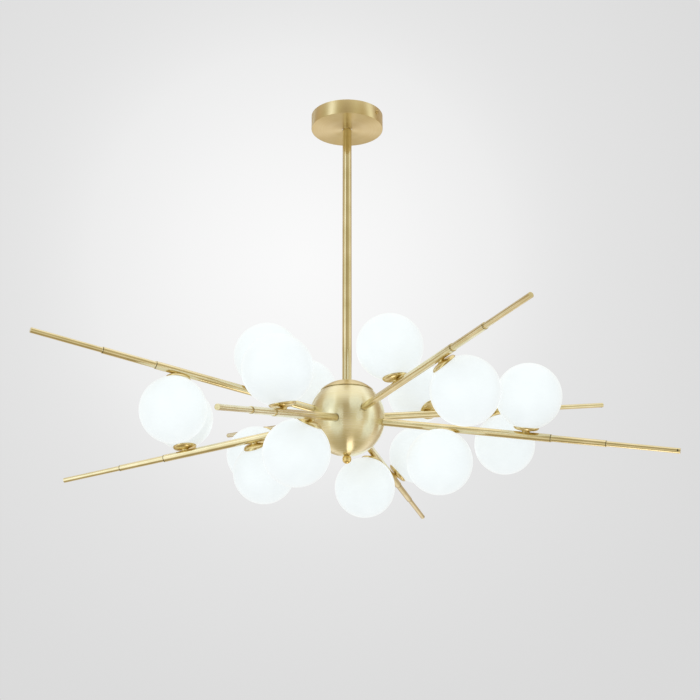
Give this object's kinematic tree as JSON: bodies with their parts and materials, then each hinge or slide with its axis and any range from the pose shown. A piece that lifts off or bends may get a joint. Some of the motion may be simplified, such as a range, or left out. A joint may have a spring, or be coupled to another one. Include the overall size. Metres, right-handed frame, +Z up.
{
  "type": "multi arm chandelier",
  "caption": "Chandelier with stepped brass arms rayed from a ball hub on a rigid stem, each arm holding opal glass globes in saucer cups.",
  "frame": {"origin": "centre of the ceiling plane, on the top face of the ceiling bracket", "axes": "+Z up to the ceiling; the stem hangs down along -Z; -Y is the front"},
  "size_m": [0.9631, 0.9611, 0.6643],
  "materials": {
    "satin_brass": "satin brushed",
    "polished_brass": "polished",
    "screw_brass": "machined",
    "cast_brass": "cast and machined",
    "zinc_plated_steel": "zinc plated",
    "white_nylon": "moulded",
    "wire_sheath": "smooth",
    "lampholder_ceramic": "white ceramic, with the lamp capsule",
    "opal_glass": "opal white, lit"
  },
  "bodies": {
    "ceiling_mount": {"ceiling_bracket": "zinc_plated_steel", "swivel_stud": "zinc_plated_steel", "terminal_block": "white_nylon"},
    "canopy": {"canopy": "satin_brass", "canopy_screws": "screw_brass"},
    "stem": {"stem": "satin_brass", "stem_leads": "wire_sheath", "hub_core": "cast_brass", "arm_lock_nuts": "zinc_plated_steel", "hub_bowl": "satin_brass"},
    "hub_lid": {"hub_lid": "satin_brass"},
    "finial": {"finial": "polished_brass"},
    "arm_1": {"arm_1_tube": "satin_brass", "arm_1_extension": "satin_brass", "arm_1_cups": "satin_brass", "arm_1_lamps": "lampholder_ceramic"},
    "globe_1_outer": {"globe_1_outer": "opal_glass"},
    "globe_1_inner": {"globe_1_inner": "opal_glass"},
    "arm_2": {"arm_2_tube": "satin_brass", "arm_2_extension": "satin_brass", "arm_2_cups": "satin_brass", "arm_2_lamps": "lampholder_ceramic"},
    "globe_2_outer": {"globe_2_outer": "opal_glass"},
    "globe_2_inner": {"globe_2_inner": "opal_glass"},
    "arm_3": {"arm_3_tube": "satin_brass", "arm_3_extension": "satin_brass", "arm_3_cups": "satin_brass", "arm_3_lamps": "lampholder_ceramic"},
    "globe_3_outer": {"globe_3_outer": "opal_glass"},
    "globe_3_inner": {"globe_3_inner": "opal_glass"},
    "arm_4": {"arm_4_tube": "satin_brass", "arm_4_extension": "satin_brass", "arm_4_cups": "satin_brass", "arm_4_lamps": "lampholder_ceramic"},
    "globe_4_outer": {"globe_4_outer": "opal_glass"},
    "globe_4_inner": {"globe_4_inner": "opal_glass"},
    "arm_5": {"arm_5_tube": "satin_brass", "arm_5_extension": "satin_brass", "arm_5_cups": "satin_brass", "arm_5_lamps": "lampholder_ceramic"},
    "globe_5_outer": {"globe_5_outer": "opal_glass"},
    "globe_5_inner": {"globe_5_inner": "opal_glass"},
    "arm_6": {"arm_6_tube": "satin_brass", "arm_6_extension": "satin_brass", "arm_6_cups": "satin_brass", "arm_6_lamps": "lampholder_ceramic"},
    "globe_6_outer": {"globe_6_outer": "opal_glass"},
    "globe_6_inner": {"globe_6_inner": "opal_glass"},
    "arm_7": {"arm_7_tube": "satin_brass", "arm_7_extension": "satin_brass", "arm_7_cups": "satin_brass", "arm_7_lamps": "lampholder_ceramic"},
    "globe_7_outer": {"globe_7_outer": "opal_glass"},
    "globe_7_inner": {"globe_7_inner": "opal_glass"},
    "arm_8": {"arm_8_tube": "satin_brass", "arm_8_extension": "satin_brass", "arm_8_cups": "satin_brass", "arm_8_lamps": "lampholder_ceramic"},
    "globe_8_outer": {"globe_8_outer": "opal_glass"},
    "globe_8_inner": {"globe_8_inner": "opal_glass"}
  },
  "joints": [
    {"name": "canopy_slide", "type": "slide", "parent": "ceiling_mount", "child": "canopy", "axis": [0, 0, -1], "range_m": [0, 0.2]},
    {"name": "fixture_turn", "type": "hinge", "parent": "ceiling_mount", "child": "stem", "pos_m": [0, 0, -0.02], "axis": [0, 0, 1], "range_deg": [-170, 170]},
    {"name": "lid_lift", "type": "slide", "parent": "stem", "child": "hub_lid", "axis": [0, 0, 1], "range_m": [0, 0.15]},
    {"name": "finial_turn", "type": "hinge", "parent": "stem", "child": "finial", "pos_m": [0, 0, -0.59], "axis": [0, 0, 1], "continuous": true},
    {"name": "arm_1_aim", "type": "hinge", "parent": "stem", "child": "arm_1", "pos_m": [0, 0, -0.528], "axis": [-0.3017, -0.9285, -0.2164], "range_deg": [-30, 30]},
    {"name": "globe_1_outer_unscrew", "type": "hinge", "parent": "arm_1", "child": "globe_1_outer", "pos_m": [-0.08538, -0.26277, -0.58925], "axis": [-0.1495, -0.1781, 0.9726], "range_deg": [0, 540]},
    {"name": "globe_1_inner_unscrew", "type": "hinge", "parent": "arm_1", "child": "globe_1_inner", "pos_m": [-0.04887, -0.15042, -0.56306], "axis": [-0.4026, 0.3299, -0.8539], "range_deg": [0, 540]},
    {"name": "arm_2_aim", "type": "hinge", "parent": "stem", "child": "arm_2", "pos_m": [0, 0, -0.528], "axis": [0.4526, -0.8883, 0.0785], "range_deg": [-30, 30]},
    {"name": "globe_2_outer_unscrew", "type": "hinge", "parent": "arm_2", "child": "globe_2_outer", "pos_m": [0.12808, -0.25138, -0.5058], "axis": [0.6227, 0.2518, -0.7409], "range_deg": [0, 540]},
    {"name": "globe_2_inner_unscrew", "type": "hinge", "parent": "arm_2", "child": "globe_2_inner", "pos_m": [0.07332, -0.1439, -0.51529], "axis": [-0.1593, 0.006, 0.9872], "range_deg": [0, 540]},
    {"name": "arm_3_aim", "type": "hinge", "parent": "stem", "child": "arm_3", "pos_m": [0, 0, -0.528], "axis": [0.9504, -0.2636, -0.165], "range_deg": [-30, 30]},
    {"name": "globe_3_outer_unscrew", "type": "hinge", "parent": "arm_3", "child": "globe_3_outer", "pos_m": [0.26897, -0.07459, -0.57471], "axis": [0.0792, -0.308, 0.9481], "range_deg": [0, 540]},
    {"name": "globe_3_inner_unscrew", "type": "hinge", "parent": "arm_3", "child": "globe_3_inner", "pos_m": [0.15397, -0.0427, -0.55474], "axis": [-0.2338, -0.2558, -0.938], "range_deg": [0, 540]},
    {"name": "arm_4_aim", "type": "hinge", "parent": "stem", "child": "arm_4", "pos_m": [0, 0, -0.528], "axis": [0.8788, 0.4478, 0.165], "range_deg": [-30, 30]},
    {"name": "globe_4_outer_unscrew", "type": "hinge", "parent": "arm_4", "child": "globe_4_outer", "pos_m": [0.2487, 0.12672, -0.48129], "axis": [0.2088, -0.0498, -0.9767], "range_deg": [0, 540]},
    {"name": "globe_4_inner_unscrew", "type": "hinge", "parent": "arm_4", "child": "globe_4_inner", "pos_m": [0.14236, 0.07254, -0.50126], "axis": [-0.4131, 0.5405, 0.733], "range_deg": [0, 540]},
    {"name": "arm_5_aim", "type": "hinge", "parent": "stem", "child": "arm_5", "pos_m": [0, 0, -0.528], "axis": [0.2816, 0.9506, -0.1305], "range_deg": [-30, 30]},
    {"name": "globe_5_outer_unscrew", "type": "hinge", "parent": "arm_5", "child": "globe_5_outer", "pos_m": [0.07969, 0.26903, -0.56494], "axis": [0.7373, -0.1273, 0.6634], "range_deg": [0, 540]},
    {"name": "globe_5_inner_unscrew", "type": "hinge", "parent": "arm_5", "child": "globe_5_inner", "pos_m": [0.04562, 0.154, -0.54914], "axis": [-0.2679, -0.0527, -0.962], "range_deg": [0, 540]},
    {"name": "arm_6_aim", "type": "hinge", "parent": "stem", "child": "arm_6", "pos_m": [0, 0, -0.528], "axis": [-0.4478, 0.8788, 0.165], "range_deg": [-30, 30]},
    {"name": "globe_6_outer_unscrew", "type": "hinge", "parent": "arm_6", "child": "globe_6_outer", "pos_m": [-0.12672, 0.2487, -0.48129], "axis": [-0.5604, -0.132, -0.8177], "range_deg": [0, 540]},
    {"name": "globe_6_inner_unscrew", "type": "hinge", "parent": "arm_6", "child": "globe_6_inner", "pos_m": [-0.07254, 0.14236, -0.50126], "axis": [0.0749, -0.1471, 0.9863], "range_deg": [0, 540]},
    {"name": "arm_7_aim", "type": "hinge", "parent": "stem", "child": "arm_7", "pos_m": [0, 0, -0.528], "axis": [-0.9327, 0.3395, -0.1219], "range_deg": [-30, 30]},
    {"name": "globe_7_outer_unscrew", "type": "hinge", "parent": "arm_7", "child": "globe_7_outer", "pos_m": [-0.26395, 0.09607, -0.56249], "axis": [-0.1145, 0.0417, 0.9925], "range_deg": [0, 540]},
    {"name": "globe_7_inner_unscrew", "type": "hinge", "parent": "arm_7", "child": "globe_7_inner", "pos_m": [-0.1511, 0.05499, -0.54774], "axis": [0.2862, 0.4909, -0.8229], "range_deg": [0, 540]},
    {"name": "arm_8_aim", "type": "hinge", "parent": "stem", "child": "arm_8", "pos_m": [0, 0, -0.528], "axis": [-0.8754, -0.4655, 0.1305], "range_deg": [-30, 30]},
    {"name": "globe_8_outer_unscrew", "type": "hinge", "parent": "arm_8", "child": "globe_8_outer", "pos_m": [-0.24774, -0.13172, -0.49106], "axis": [-0.107, -0.0767, -0.9913], "range_deg": [0, 540]},
    {"name": "globe_8_inner_unscrew", "type": "hinge", "parent": "arm_8", "child": "globe_8_inner", "pos_m": [-0.14181, -0.0754, -0.50686], "axis": [0.3523, -0.4295, 0.8315], "range_deg": [0, 540]}
  ]
}
